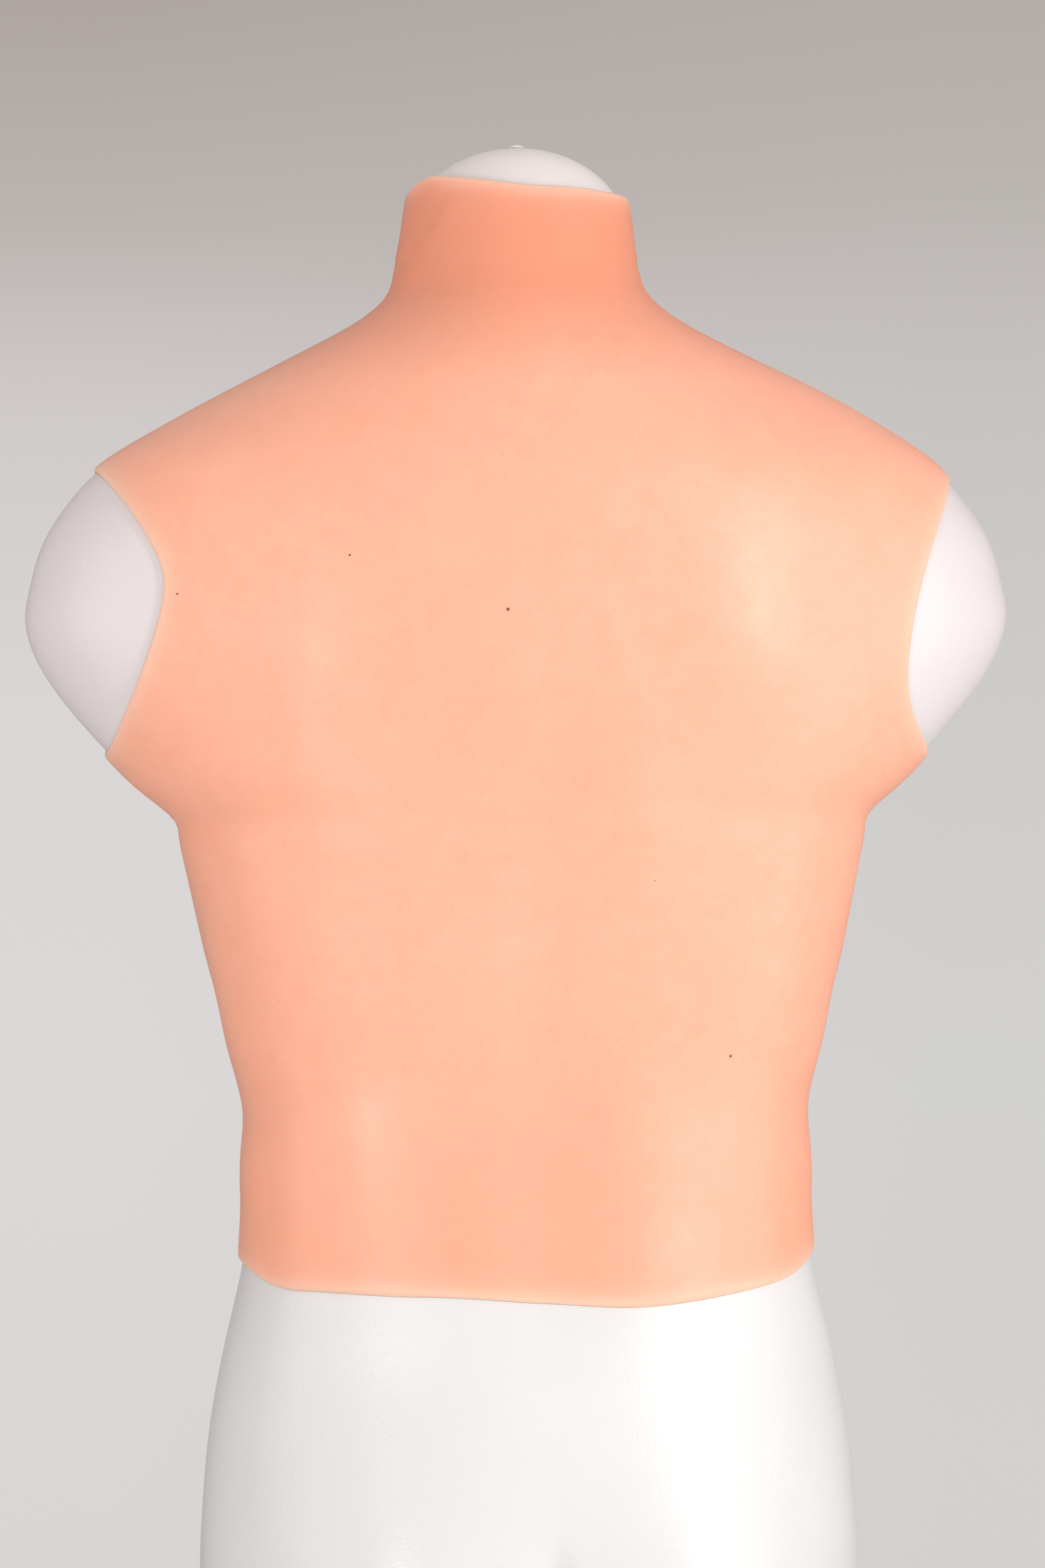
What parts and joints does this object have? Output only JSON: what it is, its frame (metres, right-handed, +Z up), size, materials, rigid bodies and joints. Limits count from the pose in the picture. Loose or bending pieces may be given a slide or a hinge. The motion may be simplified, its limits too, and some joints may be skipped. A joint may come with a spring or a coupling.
{
  "type": "torso mannequin",
  "caption": "Armless, headless male torso form in white plastic, dressed in a moulded silicone skin, on a telescopic pole with a weighted round base",
  "frame": {"origin": "on the floor, at the centre of the round base, on the pole's axis", "axes": "+Z up; the chest faces -Y and the back faces +Y; X runs across the shoulders"},
  "size_m": [0.4798, 0.38, 1.3418],
  "materials": {
    "form": "moulded white shell, fine pebble grain under a satin gloss",
    "tape": "resin and glass mat, uneven",
    "skin": "flesh-coloured silicone, soft satin, faintly translucent at its edges",
    "board": "birch plywood, sawn edges",
    "zinc": "zinc-plated",
    "sleeve": "drawn steel tube",
    "chrome": "polished",
    "nylon": "natural nylon",
    "knob": "black, fine-grained",
    "cover": "white powder coat",
    "iron": "as cast",
    "pad": "black rubber sheet"
  },
  "bodies": {
    "stand": {"fixed_tube": "chrome", "guide_bush": "nylon", "height_collar": "chrome", "tube_insert": "sleeve", "tube_hub": "chrome", "base_cover": "cover", "base_weight": "iron", "base_pad": "pad", "base_bolt": "zinc", "base_washer": "zinc"},
    "pole": {"sliding_pole": "chrome", "pole_top_plug": "nylon", "pole_glide": "nylon"},
    "torso": {"form_back_shell": "form", "form_front_shell": "form", "seam_tape": "tape", "neck_plug": "form", "silicone_skin": "skin", "bottom_board": "board", "waist_board": "board", "rim_screws": "zinc", "support_sleeve": "sleeve", "sleeve_cup": "nylon", "socket_flange": "chrome", "flange_screws": "zinc"},
    "socket_knob": {"socket_knob": "knob", "socket_screw": "zinc"},
    "collar_knob": {"collar_knob": "knob", "collar_screw": "zinc"}
  },
  "joints": [
    {"name": "height_slide", "type": "slide", "parent": "stand", "child": "pole", "axis": [0, 0, 1], "range_m": [0, 0.3]},
    {"name": "torso_swivel", "type": "hinge", "parent": "pole", "child": "torso", "pos_m": [0, 0, 0.8], "axis": [0, 0, 1], "continuous": true},
    {"name": "socket_knob_turn", "type": "hinge", "parent": "torso", "child": "socket_knob", "pos_m": [0, 0.03, 0.53], "axis": [0, 1, 0], "range_deg": [0, 540]},
    {"name": "collar_knob_turn", "type": "hinge", "parent": "stand", "child": "collar_knob", "pos_m": [0, 0.03, 0.452], "axis": [0, 1, 0], "range_deg": [0, 540]}
  ]
}
